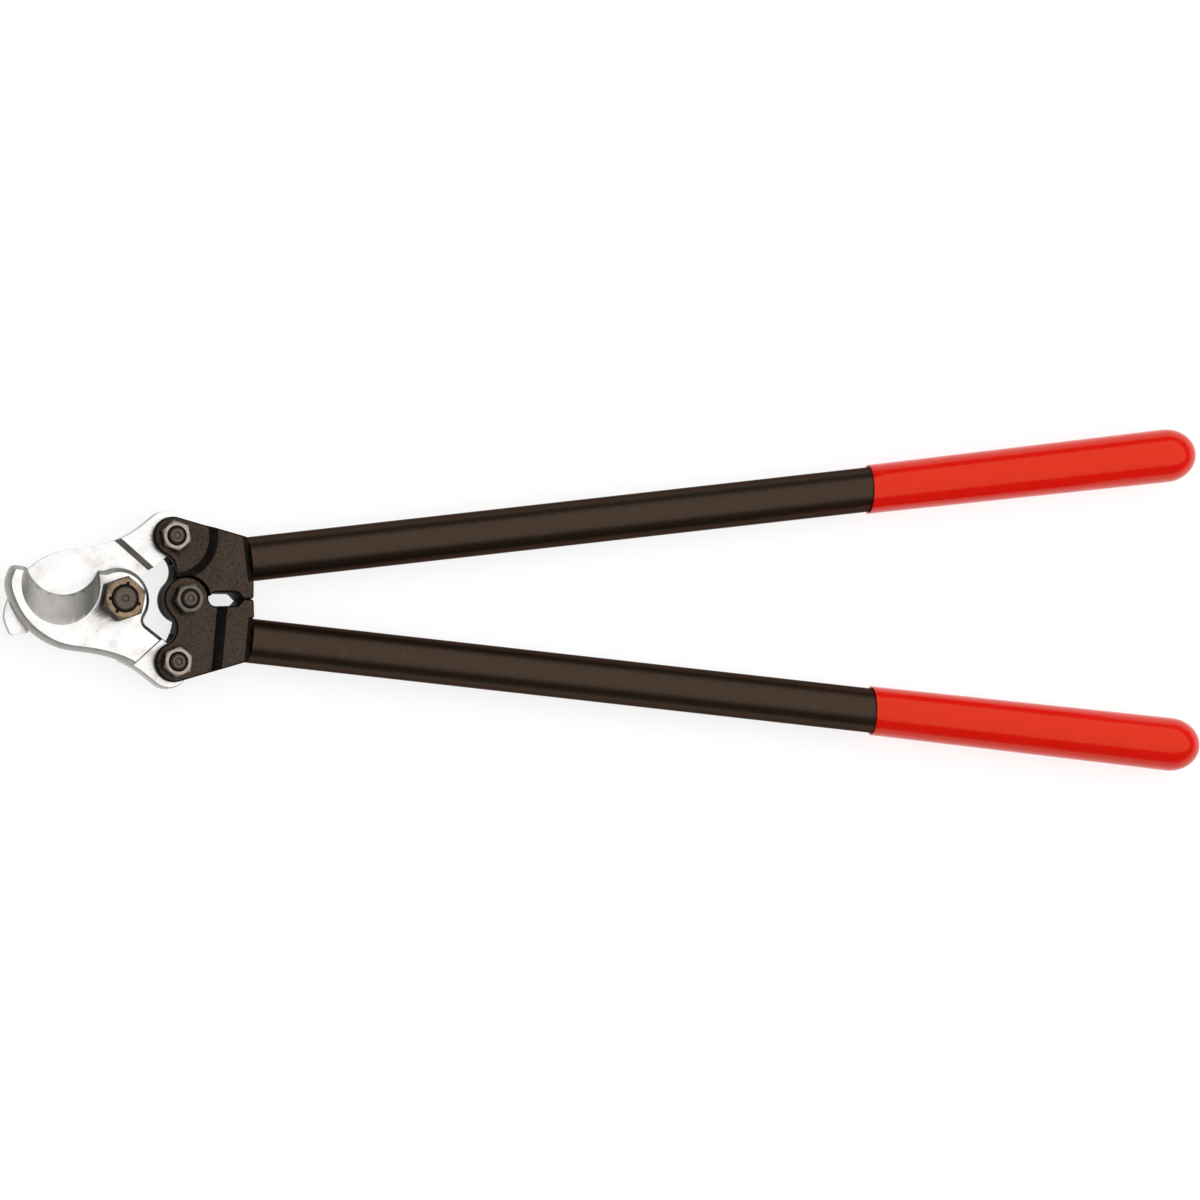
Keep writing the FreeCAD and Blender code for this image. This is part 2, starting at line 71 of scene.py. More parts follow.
CAD_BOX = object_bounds()
NODES = frame["nodes"]
MOUNTS = {mount["name"]: mount for mount in frame["record"]["mounts"]}
BODY_OF = {node: body for body, nodes in frame["record"]["behaviour"]["bodies"].items()
           for node in nodes}
SLOT_OF = {part["node"]: part["material_slot"] for part in frame["record"]["subparts"]}
SIDES = ("upper", "lower")
FASTENERS = ("pivot", "hinge", "upper_link", "lower_link")

SAME_PLACE = 1e-6         # metres between corners that are merged
SAME_FACE = 0.05          # degrees between triangles that are joined up
BREAK_STEPS = 2           # segments round a broken edge
SHARP = 32.0              # degrees from which an edge is broken
NUT_SHARP = 25.0          # and on nuts and bolts
LEVEL = 0.99              # upright part of a flat face's normal
UPRIGHT = 0.3             # and of a side wall's
NUT_MOUTH = 0.39          # reach of a nut's countersink, as a share of its width
GRIP_ROWS = 40            # rings along a grip
GRIP_DOME_ROWS = 16       # and over its dome
GRIP_BORE_ROWS = 8        # and inside it
LIP_STEPS = 3             # segments round a grip's lip


# ---------------------------------------------------------------- sizes and colours

def length(name, description, default, **limits):
    return FloatProperty(name=name, description=description, default=default,
                         unit="LENGTH", subtype="DISTANCE", precision=5, **limits)


def colour(name, description, default):
    return FloatVectorProperty(name=name, description=description, default=default,
                               subtype="COLOR", size=3, min=0.0, max=1.0)


def factor(name, description, default):
    return FloatProperty(name=name, description=description, default=default,
                         subtype="FACTOR", min=0.0, max=1.0)


class CutterSizes(bpy.types.PropertyGroup):
    blade_break: length("Blade edge break", "Width of the broken edges of a blade", 0.00018)
    forging_break: length("Forging edge break", "Width of the broken edges of a head", 0.00035)
    nut_break: length("Nut edge break", "Width of the broken edges of nuts and bolts", 0.0002)
    mark_radius: length("Centre mark", "Radius of the dimple in a bolt's end", 0.0019)
    mark_depth: length("Centre mark depth", "Depth of the dimple in a bolt's end", 0.0005)
    grip_start: length("Grip start radius", "Radius of a grip where the dip begins", 0.0115)
    grip_end: length("Grip end radius", "Radius of a grip where its dome begins", 0.01275)
    grip_dome: length("Grip dome", "Length of the domed end of a grip", 0.015)
    grip_wall: length("Grip end wall", "Thickness of a grip at its end", 0.0026)
    grip_lip: length("Grip lip", "Rounding of the edge where the dip begins", 0.0004)
    round_steps: IntProperty(name="Round steps", description="Sides of a turned piece",
                             default=96, min=24, max=256)


class CutterColours(bpy.types.PropertyGroup):
    steel: colour("Blade steel", "Ground and polished tool steel", (0.80, 0.795, 0.785))
    ground: colour("Ground steel", "Slopes and edges of the blades", (0.56, 0.54, 0.51))
    steel_stain: colour("Blade stain", "Warm tarnish on the blades", (0.66, 0.56, 0.50))
    steel_rust: colour("Blade rust", "Light rust specks on the blades", (0.62, 0.47, 0.30))
    steel_pit: colour("Blade pits", "Dark specks on the blades", (0.30, 0.24, 0.20))
    forging: colour("Head finish", "Blackened forged steel", (0.042, 0.030, 0.0215))
    forging_dark: colour("Head speckle", "Pits in the finish", (0.011, 0.008, 0.006))
    # painted shade: near-black put into the colour of the heads' slopes and sides
    scale: colour("Head scale", "Thicker finish left on the slopes", (0.008, 0.006, 0.005))
    # painted shade: the near-black of the nuts' sides and countersunk bores, put into their colour
    nut_shade: colour("Oily grime", "Oil and dirt down the nuts' sides and bores", (0.014, 0.010, 0.008))
    tube: colour("Tube finish", "Satin coat on the tubes", (0.046, 0.031, 0.022))
    tube_worn: colour("Tube scuffs", "Rubbed places on the tubes", (0.085, 0.066, 0.052))
    dust: colour("Dust", "Pale specks on the tubes", (0.16, 0.13, 0.11))
    grip: colour("Grip", "Dipped vinyl", (0.82, 0.006, 0.003))
    grip_deep: colour("Grip shade", "Deeper tone of the vinyl", (0.76, 0.003, 0.002))
    plug: colour("Plug", "Moulded plug in the tube's end", (0.04, 0.04, 0.04))
    gold: colour("Centre nut", "Dulled yellow zinc", (0.30, 0.215, 0.140))
    cream: colour("Link nuts", "Pale yellow zinc", (0.40, 0.34, 0.28))
    grey: colour("Hinge nut", "Dulled clear zinc", (0.155, 0.133, 0.113))
    oxide: colour("Bolts", "Black oxide", (0.105, 0.083, 0.066))
    oxide_worn: colour("Worn bolts", "Rubbed places on the black oxide", (0.15, 0.125, 0.105))
    gloss: factor("Grip gloss", "Coat weight of the dipped vinyl", 0.25)


class StudioSettings(bpy.types.PropertyGroup):
    floor: colour("Floor", "Pale studio floor", (0.34, 0.34, 0.338))
    floor_glow: FloatProperty(name="Floor glow", description="Light that comes through the floor",
                              default=0.76, min=0.0)
    sky: colour("Room", "Light from the walls of the studio", (1.0, 0.995, 0.985))
    room_light: FloatProperty(name="Room light", description="Brightness of the walls",
                              default=0.17, min=0.0)
    key_power: FloatProperty(name="Overhead light", description="Power of the softbox",
                             default=22.0, min=0.0, unit="POWER")
    key_size: length("Softbox size", "Side of the overhead softbox", 2.4)
    key_height: length("Softbox height", "Height of the softbox above the floor", 1.0)
    key_back: length("Softbox offset", "How far it hangs towards the grips", 0.30)
    key_side: length("Softbox side offset", "How far it hangs towards the upper handle", 0.15)
    floor_size: length("Floor size", "Half the side of the floor", 40.0)
    distance: length("Camera distance", "From the camera to the middle of the tool", 20.0)
    focal: FloatProperty(name="Focal length", description="Lens in millimetres",
                         default=1254.6, min=1.0)
    aim: length("Aim", "How far towards the jaws the camera aims", 0.0015)
    lean: FloatProperty(name="Lean", description="Camera tilt towards the jaws",
                        default=math.radians(15.0), subtype="ANGLE", unit="ROTATION")
    drop: FloatProperty(name="Drop", description="Camera tilt towards the lower handle",
                        default=math.radians(2.72), subtype="ANGLE", unit="ROTATION")


# ---------------------------------------------------------------- materials

class Signal:
    """A socket on its way through a material, with arithmetic in place of Math nodes."""

    def __init__(self, finish, socket):
        self.finish = finish
        self.socket = socket

    def __add__(self, other):
        return self.finish.math("ADD", self, other)

    def __radd__(self, other):
        return self.finish.math("ADD", other, self)

    def __sub__(self, other):
        return self.finish.math("SUBTRACT", self, other)

    def __rsub__(self, other):
        return self.finish.math("SUBTRACT", other, self)

    def __mul__(self, other):
        return self.finish.math("MULTIPLY", self, other)

    def __rmul__(self, other):
        return self.finish.math("MULTIPLY", other, self)


class Finish:
    """A material being made: its shader, and the nodes that feed it."""

    def __init__(self, name, **constants):
        self.material = bpy.data.materials.new(name)
        self.material.use_nodes = True
        self.tree = self.material.node_tree
        self.shader = self.tree.nodes["Principled BSDF"]
        for socket, value in constants.items():
            self.shader.inputs[socket.replace("_", " ")].default_value = value
        coordinates = self.tree.nodes.new("ShaderNodeTexCoord")
        self.place = Signal(self, coordinates.outputs["Object"])

    def node(self, kind, settings=None, values=None):
        """Any node, with its settings made first and then its sockets' values or links."""
        node = self.tree.nodes.new("ShaderNode" + kind)
        for name, value in (settings or {}).items():
            if name == "stops":
                self.set_stops(node.color_ramp, value)
            else:
                setattr(node, name, value)
        for name, value in (values or {}).items():
            socket = node.inputs[name]
            if isinstance(value, Signal):
                self.tree.links.new(value.socket, socket)
            else:
                socket.default_value = value
        return Signal(self, node.outputs[0])

    def set_stops(self, ramp, stops):
        ramp.elements[0].position = stops[0][0]
        ramp.elements[1].position = stops[-1][0]
        for position, _ in stops[1:-1]:
            ramp.elements.new(position)
        for element, (_, grey) in zip(ramp.elements, stops):
            element.color = (grey, grey, grey, 1.0)

    def math(self, operation, first, second):
        return self.node("Math", {"operation": operation}, {0: first, 1: second})

    def ramp(self, signal, *stops):
        return self.node("ValToRGB", {"stops": stops}, {"Fac": signal})

    def noise(self, size, detail=2.0, roughness=0.5, place=None):
        """Noise whose features are about one size across, in metres."""
        return self.node("TexNoise", values={"Vector": place or self.place, "Scale": 1 / size,
                                             "Detail": detail, "Roughness": roughness})

    def spots(self, size, place=None):
        """Distance from the nearest of the scattered points, in their own spacing."""
        return self.node("TexVoronoi", values={"Vector": place or self.place, "Scale": 1 / size})

    def stretched(self, along, **factors):
        """The place measured along a direction of the tool, squeezed on its own axes."""
        turn = -math.atan2(along.y, along.x)
        scale = [factors.get(axis, 1.0) for axis in "xyz"]
        turned = self.node("Mapping", values={"Vector": self.place, "Rotation": (0, 0, turn)})
        return self.node("Mapping", values={"Vector": turned, "Scale": scale})

    def mix(self, share, first, second):
        """A colour between two others."""
        node = self.tree.nodes.new("ShaderNodeMix")
        node.data_type = "RGBA"
        for socket, value in ((node.inputs[0], share), (node.inputs[6], first),
                              (node.inputs[7], second)):
            if isinstance(value, Signal):
                self.tree.links.new(value.socket, socket)
            elif socket == node.inputs[0]:
                socket.default_value = value
            else:
                socket.default_value = (*value, 1.0)
        return Signal(self, node.outputs[2])

    def feed(self, socket, signal):
        self.tree.links.new(signal.socket, self.shader.inputs[socket])

    def emboss(self, height, depth, strength=1.0):
        """Bump from a height of 0 to 1, with its depth in metres."""
        self.feed("Normal", self.node("Bump", values={"Height": height, "Distance": depth,
                                                      "Strength": strength}))


def dulled(tint, share):
    """A colour made darker, or lighter with a share over 1."""
    return tuple(share * part for part in tint)


def blade_steel(colours):
    """Ground tool steel: fine grinding lines, cloudy polish and warm stains."""
    steel = Finish("blade_steel", Metallic=1.0)
    clouds = steel.noise(0.011, 3.0)
    stains = steel.ramp(steel.noise(0.0075, 4.0, 0.62), (0.50, 0.0), (0.72, 1.0))
    lines = steel.noise(0.0011, 2.0, place=steel.stretched(Vector((1.0, 0.35, 0.0)), x=0.06))
    base = steel.mix(stains * 0.5, tuple(colours.steel), tuple(colours.steel_stain))
    rust = steel.ramp(steel.noise(0.0024, 5.0, 0.7), (0.64, 0.0), (0.78, 1.0))
    base = steel.mix(rust * 0.4, base, tuple(colours.steel_rust))
    pits = steel.ramp(steel.spots(0.0042), (0.05, 1.0), (0.11, 0.0))
    steel.feed("Base Color", steel.mix(pits * 0.5, base, tuple(colours.steel_pit)))
    steel.feed("Roughness", 0.27 + clouds * 0.12 + lines * 0.10 + stains * 0.10)
    steel.emboss(lines * 0.6 + clouds * 0.4, 0.00003)
    return steel.material


def ground_steel(colours):
    """The blades' ground slopes and edges: duller, with finer and closer lines."""
    ground = Finish("ground_steel", Metallic=1.0)
    clouds = ground.noise(0.006, 3.0)
    lines = ground.noise(0.0008, 2.0, place=ground.stretched(Vector((0.5, 1.0, 0.0)), x=0.10))
    base = ground.mix(clouds, tuple(colours.ground), dulled(colours.ground, 0.72))
    ground.feed("Base Color", ground.mix(lines * 0.35, base, dulled(colours.ground, 0.5)))
    ground.feed("Roughness", 0.34 + lines * 0.16)
    ground.emboss(lines, 0.00003)
    return ground.material


def forged_black(colours):
    """Blackened forging: a fine blasted surface with darker pits."""
    black = Finish("forged_black", Metallic=0.9, IOR=1.5)
    grain = black.noise(0.0007, 4.0, 0.65)
    pits = black.ramp(black.spots(0.0016), (0.12, 1.0), (0.30, 0.0))
    cloud = black.noise(0.012, 2.0)
    shade = black.mix(cloud * 0.6, tuple(colours.forging), tuple(colours.forging_dark))
    mottle = black.ramp(black.noise(0.0011, 3.0, 0.7), (0.36, 0.0), (0.66, 1.0))
    shade = black.mix(mottle * 0.6, shade, dulled(colours.forging, 1.8))
    black.feed("Base Color", black.mix(pits * 0.75, shade, tuple(colours.forging_dark)))
    black.feed("Roughness", 0.27 + grain * 0.16 + pits * 0.12)
    black.emboss(grain * 0.7 - pits * 0.5, 0.00012)
    return black.material


def forging_slope_shade(colours):
    """The heads' slopes and sides, given a painted shade: the near-black these tilted faces take
    where the overhead light falls off.
    """
    scale = Finish("forging_slope_shade", IOR=1.12)
    grain = scale.noise(0.0008, 4.0, 0.65)
    patches = scale.ramp(scale.noise(0.004, 3.0, 0.6), (0.48, 0.0), (0.72, 1.0))
    # painted shade colour, mixed with random patches of the head finish
    scale.feed("Base Color", scale.mix(patches * 0.35, tuple(colours.scale),
                                       tuple(colours.forging)))
    scale.feed("Roughness", 0.45 + grain * 0.20)
    scale.emboss(grain, 0.00012)
    return scale.material


def satin_tube(colours):
    """Satin black coat with long faint scuffs and specks of dust."""
    coat = Finish("satin_tube", Metallic=0.9, IOR=1.5, Specular_Tint=(0.40, 0.35, 0.33, 1.0))
    grain = coat.noise(0.0009, 3.0, 0.6)
    scuffs = coat.ramp(coat.noise(0.010, 5.0, 0.7), (0.60, 0.0), (0.78, 1.0))
    specks = coat.ramp(coat.spots(0.0060), (0.030, 1.0), (0.055, 0.0))
    base = coat.mix(scuffs * 0.45, tuple(colours.tube), tuple(colours.tube_worn))
    coat.feed("Base Color", coat.mix(specks * 0.6, base, tuple(colours.dust)))
    coat.feed("Roughness", 0.27 + grain * 0.08 + scuffs * 0.16)
    coat.emboss(grain, 0.00005)
    return coat.material


def dipped_vinyl(colours):
    """Glossy dipped vinyl with faint wrinkles along the grip."""
    vinyl = Finish("dipped_vinyl", IOR=1.42, Specular_Tint=(1.0, 0.72, 0.25, 1.0),
                   Coat_Weight=colours.gloss, Coat_Roughness=0.08, Coat_IOR=1.3)
    ripples = vinyl.noise(0.012, 3.0, 0.6)
    wrinkles = vinyl.ramp(vinyl.noise(0.0035, 4.0, 0.7), (0.45, 0.0), (0.70, 1.0))
    vinyl.feed("Base Color", vinyl.mix(ripples, tuple(colours.grip), tuple(colours.grip_deep)))
    vinyl.feed("Roughness", 0.17 + wrinkles * 0.10)
    vinyl.emboss(ripples * 0.8 + wrinkles * 0.2, 0.00006)
    return vinyl.material


def moulded_plug(colours):
    """Plain moulded plastic."""
    plastic = Finish("moulded_plug")
    grain = plastic.noise(0.0006, 3.0)
    plastic.feed("Base Color", plastic.mix(grain * 0.4, tuple(colours.plug),
                                           dulled(colours.plug, 0.5)))
    plastic.feed("Roughness", 0.5 + grain * 0.15)
    plastic.emboss(grain, 0.00005)
    return plastic.material


def plated(name, tint, dark, metal=1.0):
    """Zinc plating gone dull: cloudy, with dark specks in the corners of its crystals."""
    zinc = Finish(name, Metallic=metal)
    cloud = zinc.noise(0.0032, 4.0, 0.65)
    grain = zinc.noise(0.0005, 3.0)
    specks = zinc.ramp(zinc.spots(0.0014), (0.06, 1.0), (0.20, 0.0))
    base = zinc.mix(zinc.ramp(cloud, (0.38, 0.0), (0.68, 1.0)), tint, dark)
    zinc.feed("Base Color", zinc.mix(specks * 0.55, base, dulled(dark, 0.35)))
    zinc.feed("Roughness", 0.32 + cloud * 0.22)
    zinc.emboss(grain * 0.6 + cloud * 0.4, 0.00006)
    return zinc.material


def black_oxide(colours):
    """Oiled black oxide on turned steel."""
    oxide = Finish("black_oxide", Metallic=0.9, IOR=1.5)
    grain = oxide.noise(0.0006, 3.0, 0.6)
    worn = oxide.ramp(oxide.noise(0.0028, 4.0, 0.65), (0.50, 0.0), (0.75, 1.0))
    oxide.feed("Base Color", oxide.mix(worn * 0.6, tuple(colours.oxide),
                                       tuple(colours.oxide_worn)))
    oxide.feed("Roughness", 0.38 + grain * 0.20)
    oxide.emboss(grain, 0.00006)
    return oxide.material


def painted_nut_shade(colours):
    """Painted shade round a bolt and under a nut's corners: its sides and bore darkened, with random
    patches of the hinge nut's grey.
    """
    # painted shade colour for the tilted and sunken faces of the nuts
    nut_shade = Finish("painted_nut_shade", IOR=1.2)
    grain = nut_shade.noise(0.0006, 3.0, 0.6)
    worn = nut_shade.ramp(nut_shade.noise(0.0022, 3.0, 0.6), (0.55, 0.0), (0.75, 1.0))
    nut_shade.feed("Base Color", nut_shade.mix(worn * 0.5, tuple(colours.nut_shade), tuple(colours.grey)))
    nut_shade.feed("Roughness", 0.40 + grain * 0.20)
    nut_shade.emboss(grain, 0.00008)
    return nut_shade.material


FINISHES = {
    "blade": blade_steel,
    "blade_slopes": ground_steel,
    "forging_slopes": forging_slope_shade,
    "nut_walls": painted_nut_shade,
    "forging": forged_black,
    "tube": satin_tube,
    "grip": dipped_vinyl,
    "plug": moulded_plug,
    "black_oxide": black_oxide,
    "gold_zinc": lambda c: plated("gold_zinc", tuple(c.gold), dulled(c.gold, 0.55), 0.9),
    "cream_zinc": lambda c: plated("cream_zinc", tuple(c.cream), dulled(c.cream, 0.75)),
    "grey_zinc": lambda c: plated("grey_zinc", tuple(c.grey), dulled(c.grey, 0.65)),
}
made = {}


def finish(name):
    """The material of a slot or of a piece's slopes, made once."""
    if name not in made:
        made[name] = FINISHES[name](bpy.context.scene.cutter_colours)
    return made[name]


# ---------------------------------------------------------------- pieces

def stand_for(node, mesh_data, suffix="shaped"):
    """Put a new mesh in a node's place, on its body and in its finish."""
    piece = bpy.data.objects.new(node + "_" + suffix, mesh_data)
    bpy.context.scene.collection.objects.link(piece)
    mesh_data.materials.clear()
    mesh_data.materials.append(finish(SLOT_OF[node]))
    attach(piece, BODY_OF[node])
    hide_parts(node)
    return piece


def merged(node):
    """A bmesh of a node's own shape with its triangles joined up."""
    shape = bmesh.new()
    shape.from_mesh(NODES[node].data)
    bmesh.ops.remove_doubles(shape, verts=shape.verts, dist=SAME_PLACE)
    bmesh.ops.dissolve_limit(shape, angle_limit=math.radians(SAME_FACE), verts=shape.verts,
                             edges=shape.edges, delimit=set())
    return shape


def written(shape, name):
    """A bmesh made into mesh data with smooth faces, and freed."""
    data = bpy.data.meshes.new(name)
    for face in shape.faces:
        face.smooth = True
    shape.to_mesh(data)
    shape.free()
    return data


def broken_edges(node, width, angle=SHARP, shape=None):
    """A node's shape, or a worked copy of it, with a small round along its sharp edges."""
    piece = stand_for(node, written(shape or merged(node), node))
    bevel = piece.modifiers.new("edge_break", "BEVEL")
    bevel.width = width
    bevel.segments = BREAK_STEPS
    bevel.limit_method = "ANGLE"
    bevel.angle_limit = math.radians(angle)
    bevel.use_clamp_overlap = True
    bevel.harden_normals = True
    bevel.miter_outer = "MITER_ARC"
    return piece


def keep_shape(node):
    """A node whose own shape is right gets only its finish."""
    node_data = NODES[node].data
    for index in range(len(node_data.materials)):
        node_data.materials[index] = finish(SLOT_OF[node])


def finish_slopes(piece, name):
    """Give every face that doesn't lie flat its own finish."""
    piece.data.materials.append(finish(name))
    for face in piece.data.polygons:
        if abs(face.normal.z) < LEVEL:
            face.material_index = 1


def dimpled_end(node, radius, depth):
    """A bolt's shape with a shallow dimple in the middle of its end."""
    shape = merged(node)
    end = max(shape.faces, key=lambda face: (round(face.calc_center_median().z, 5),
                                             face.calc_area()))
    rim = min((vert.co - end.calc_center_median()).length for vert in end.verts)
    bmesh.ops.inset_region(shape, faces=[end], thickness=rim - radius)
    bmesh.ops.inset_region(shape, faces=[end], thickness=radius * 0.22, depth=-depth)
    bmesh.ops.inset_region(shape, faces=[end], thickness=radius * 0.30, depth=depth * 0.6)
    return shape


class CUTTERS_OT_blades(bpy.types.Operator):
    """Finish the two blades, with their edges broken"""
    bl_idname = "cutters.blades"
    bl_label = "Blades"

    def execute(self, context):
        for side in SIDES:
            blade = broken_edges(side + "_blade", context.scene.cutter_sizes.blade_break)
            finish_slopes(blade, "blade_slopes")
        return {"FINISHED"}


class CUTTERS_OT_heads(bpy.types.Operator):
    """Finish the two forged handle heads, with their edges rounded"""
    bl_idname = "cutters.heads"
    bl_label = "Handle heads"

    def execute(self, context):
        for side in SIDES:
            head = broken_edges(side + "_head", context.scene.cutter_sizes.forging_break)
            # painted shade on the heads' slopes and sides
            finish_slopes(head, "forging_slopes")
        return {"FINISHED"}


class CUTTERS_OT_tubes(bpy.types.Operator):
    """Finish the two handle tubes and the plugs in their ends"""
    bl_idname = "cutters.tubes"
    bl_label = "Tubes and plugs"

    def execute(self, context):
        for side in SIDES:
            keep_shape(side + "_tube")
            keep_shape(side + "_plug")
        return {"FINISHED"}


def handle_axis(side):
    """A point on a handle's axis, and the direction towards its grip."""
    mount = MOUNTS[side + "_tube_clamp"]
    return Vector(mount["pos_m"]), Vector(mount["axis"]).normalized()


def dome_points(start, reach, radius, steps):
    """Points down a quarter oval, as distance and radius."""
    quarter = [math.pi / 2 * step / steps for step in range(steps + 1)]
    return [(start + reach * math.sin(turn), radius * math.cos(turn)) for turn in quarter]


def turned(points, steps):
    """A bmesh spun about X from (distance, radius) points that go round its section."""
    shape = bmesh.new()
    corners = [shape.verts.new((along, radius, 0.0)) for along, radius in points]
    edges = [shape.edges.new(pair) for pair in zip(corners, corners[1:])]
    bmesh.ops.spin(shape, geom=corners + edges, cent=(0, 0, 0), axis=(1, 0, 0),
                   angle=2 * math.pi, steps=steps, use_merge=True)
    bmesh.ops.remove_doubles(shape, verts=shape.verts, dist=SAME_PLACE)
    bmesh.ops.recalc_face_normals(shape, faces=shape.faces)
    return shape


def grip_shape(side, sizes):
    """A dipped coat round one tube, cut square to the tool where the dip begins."""
    point, along = handle_axis(side)
    low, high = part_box(side + "_grip")
    tube_radius = MOUNTS[side + "_tube_clamp"]["dims"]["r_mm"] / 1000
    slant = math.hypot(sizes.grip_dome * along.x, sizes.grip_end * along.y)
    dome_start = (high.x - slant - point.x) / along.x
    dip_start = (low.x - point.x) / along.x
    early = dip_start - 2 * sizes.grip_end  # past the slanting cut
    points = [(dome_start + sizes.grip_dome - sizes.grip_wall, 0.0)]
    points += dome_points(dome_start, sizes.grip_dome - sizes.grip_wall, tube_radius,
                          GRIP_BORE_ROWS)[-2::-1]
    points.append((early, tube_radius))
    points.append((early, sizes.grip_start))
    for row in range(1, GRIP_ROWS):
        share = row / GRIP_ROWS
        points.append((early + (dome_start - early) * share,
                       sizes.grip_start + (sizes.grip_end - sizes.grip_start) * share))
    points += dome_points(dome_start, sizes.grip_dome, sizes.grip_end, GRIP_DOME_ROWS)
    shape = turned(points, sizes.round_steps)
    turn = Matrix.Rotation(math.atan2(along.y, along.x), 4, "Z")
    bmesh.ops.transform(shape, matrix=Matrix.Translation(point) @ turn, verts=shape.verts)

    everything = shape.verts[:] + shape.edges[:] + shape.faces[:]
    bmesh.ops.bisect_plane(shape, geom=everything, plane_co=(low.x, 0, 0),
                           plane_no=(-1, 0, 0), clear_outer=True)
    rim = [edge for edge in shape.edges if edge.is_boundary]
    bmesh.ops.bridge_loops(shape, edges=rim)
    outer = [edge for edge in rim if edge.is_valid
             and min(off_axis(vert.co, point, along) for vert in edge.verts)
             > (tube_radius + sizes.grip_start) / 2]
    bmesh.ops.bevel(shape, geom=outer, offset=sizes.grip_lip, segments=LIP_STEPS, profile=0.5,
                    affect="EDGES", material=-1, clamp_overlap=True)
    bmesh.ops.recalc_face_normals(shape, faces=shape.faces)
    return shape


def off_axis(place, point, along):
    """Distance of a place from an axis."""
    return (place - point).cross(along).length


class CUTTERS_OT_grips(bpy.types.Operator):
    """Dip the two grips over the ends of the tubes"""
    bl_idname = "cutters.grips"
    bl_label = "Dipped grips"

    def execute(self, context):
        for side in SIDES:
            shape = grip_shape(side, context.scene.cutter_sizes)
            stand_for(side + "_grip", written(shape, side + "_grip"), "dipped")
        return {"FINISHED"}


def shade_nut_walls(piece, node):
    """Give a nut's sides and its countersunk bore a painted shade."""
    low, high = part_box(node)
    middle = (low + high) / 2
    mouth = NUT_MOUTH * (high.y - low.y)
    piece.data.materials.append(finish("nut_walls"))
    for face in piece.data.polygons:
        inside = (face.center - middle).xy.length < mouth
        if abs(face.normal.z) < (LEVEL if inside else UPRIGHT):
            face.material_index = 1


class CUTTERS_OT_nuts(bpy.types.Operator):
    """Finish the four nuts, with their edges rounded"""
    bl_idname = "cutters.nuts"
    bl_label = "Nuts"

    def execute(self, context):
        for name in FASTENERS:
            nut = broken_edges(name + "_nut", context.scene.cutter_sizes.nut_break, NUT_SHARP)
            # painted shade on the nuts' sides and countersunk bores
            shade_nut_walls(nut, name + "_nut")
        return {"FINISHED"}


class CUTTERS_OT_bolts(bpy.types.Operator):
    """Finish the four bolts, with their edges rounded"""
    bl_idname = "cutters.bolts"
    bl_label = "Bolts"

    def execute(self, context):
        sizes = context.scene.cutter_sizes
        for name in FASTENERS:
            shape = dimpled_end(name + "_bolt", sizes.mark_radius, sizes.mark_depth)
            broken_edges(name + "_bolt", sizes.nut_break, NUT_SHARP, shape)
        return {"FINISHED"}


class CUTTERS_OT_washers(bpy.types.Operator):
    """Finish the four washers, with their edges rounded"""
    bl_idname = "cutters.washers"
    bl_label = "Washers"

    def execute(self, context):
        for name in FASTENERS:
            broken_edges(name + "_washer", context.scene.cutter_sizes.nut_break)
        return {"FINISHED"}


# ---------------------------------------------------------------- studio

def area_light(name, power, size, place, target):
    """A square softbox that faces a point."""
    lamp = bpy.data.lights.new(name, "AREA")
    lamp.energy = power
    lamp.size = size
    light = bpy.data.objects.new(name, lamp)
    light.location = place
    light.rotation_euler = (target - place).to_track_quat("-Z", "Y").to_euler()
    bpy.context.scene.collection.objects.link(light)
    return light


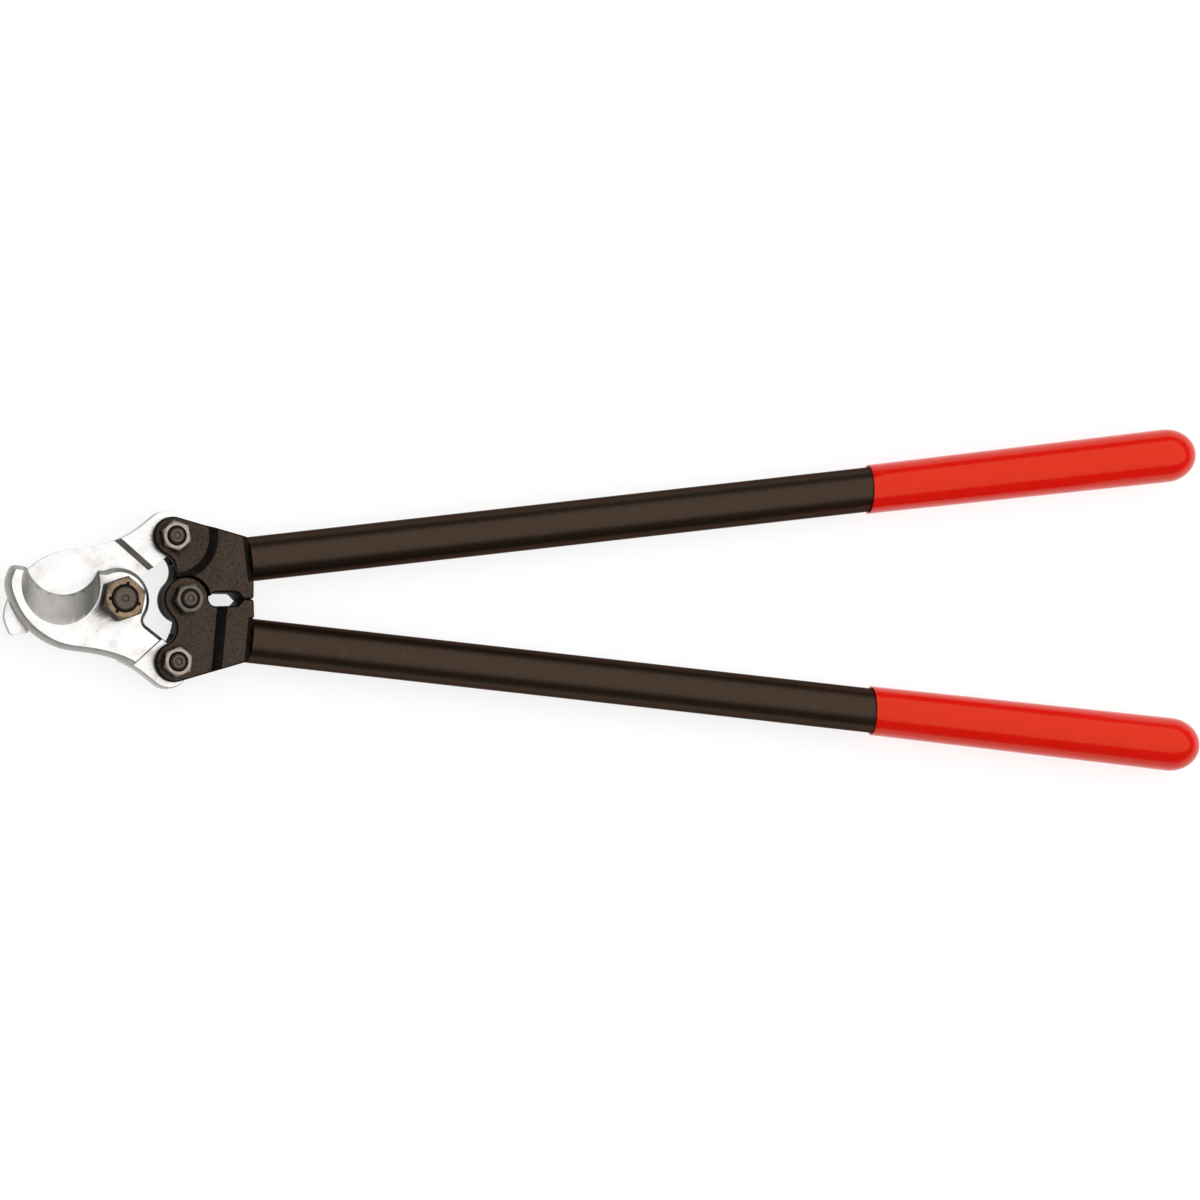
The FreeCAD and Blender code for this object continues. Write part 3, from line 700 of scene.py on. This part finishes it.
class CUTTERS_OT_stage(bpy.types.Operator):
    """Lay the pale floor, light it softly and place the camera"""
    bl_idname = "cutters.stage"
    bl_label = "Stage, light and camera"

    def execute(self, context):
        scene = context.scene
        studio = scene.cutter_studio
        paint = Finish("studio_floor", Roughness=0.9, Emission_Color=(1.0, 1.0, 1.0, 1.0),
                       Emission_Strength=studio.floor_glow)
        paint.feed("Base Color", paint.mix(paint.noise(0.5) * 0.04, tuple(studio.floor),
                                           dulled(studio.floor, 0.9)))
        plane = bmesh.new()
        bmesh.ops.create_grid(plane, x_segments=1, y_segments=1, size=studio.floor_size)
        floor = bpy.data.objects.new("floor", written(plane, "floor"))
        floor.data.materials.append(paint.material)
        scene.collection.objects.link(floor)

        world = bpy.data.worlds.new("studio")
        world.use_nodes = True
        background = world.node_tree.nodes["Background"]
        background.inputs["Color"].default_value = (*studio.sky, 1.0)
        background.inputs["Strength"].default_value = studio.room_light
        scene.world = world
        scene.view_settings.view_transform = "Standard"

        low, high = CAD_BOX
        middle = Vector(((low.x + high.x) / 2, (low.y + high.y) / 2, high.z / 2))
        back = Vector((-math.sin(studio.lean), -math.tan(studio.drop), math.cos(studio.lean)))
        over = middle + Vector((studio.key_back, studio.key_side, studio.key_height))
        area_light("softbox", studio.key_power, studio.key_size, over, middle)

        camera = bpy.data.objects.new("camera", bpy.data.cameras.new("camera"))
        depth = back.normalized()
        camera.location = middle - Vector((studio.aim, 0, 0)) + depth * studio.distance
        up = depth.cross(Vector((1, 0, 0))).normalized()
        right = up.cross(depth)
        camera.rotation_euler = Matrix((right, up, depth)).transposed().to_euler()
        camera.data.lens = studio.focal
        camera.data.sensor_width = 36.0
        camera.data.clip_end = 100.0
        scene.collection.objects.link(camera)
        scene.camera = camera
        return {"FINISHED"}


class CUTTERS_PT_panel(bpy.types.Panel):
    """Every step of the cutters, in order"""
    bl_idname = "CUTTERS_PT_panel"
    bl_label = "Cutters"
    bl_space_type = "VIEW_3D"
    bl_region_type = "UI"
    bl_category = "Cutters"

    def draw(self, context):
        for operator in OPERATORS:
            self.layout.operator(operator.bl_idname)
        for group in (context.scene.cutter_sizes, context.scene.cutter_colours,
                      context.scene.cutter_studio):
            box = self.layout.box()
            for name in group.bl_rna.properties.keys():
                if name not in ("rna_type", "name"):
                    box.prop(group, name)


GROUPS = {"cutter_sizes": CutterSizes, "cutter_colours": CutterColours,
          "cutter_studio": StudioSettings}
OPERATORS = (CUTTERS_OT_blades, CUTTERS_OT_heads, CUTTERS_OT_tubes, CUTTERS_OT_grips,
             CUTTERS_OT_nuts, CUTTERS_OT_bolts, CUTTERS_OT_washers, CUTTERS_OT_stage)


def register():
    for group_class in GROUPS.values():
        bpy.utils.register_class(group_class)
    for name, group_class in GROUPS.items():
        setattr(bpy.types.Scene, name, PointerProperty(type=group_class))
    for operator in OPERATORS:
        bpy.utils.register_class(operator)
    bpy.utils.register_class(CUTTERS_PT_panel)


def unregister():
    bpy.utils.unregister_class(CUTTERS_PT_panel)
    for operator in reversed(OPERATORS):
        bpy.utils.unregister_class(operator)
    for name in GROUPS:
        delattr(bpy.types.Scene, name)
    for group_class in reversed(GROUPS.values()):
        bpy.utils.unregister_class(group_class)


def main():
    register()
    bpy.ops.cutters.blades()
    bpy.ops.cutters.heads()
    bpy.ops.cutters.tubes()
    bpy.ops.cutters.grips()
    bpy.ops.cutters.nuts()
    bpy.ops.cutters.bolts()
    bpy.ops.cutters.washers()
    bpy.ops.cutters.stage()


if __name__ == "__main__":
    main()
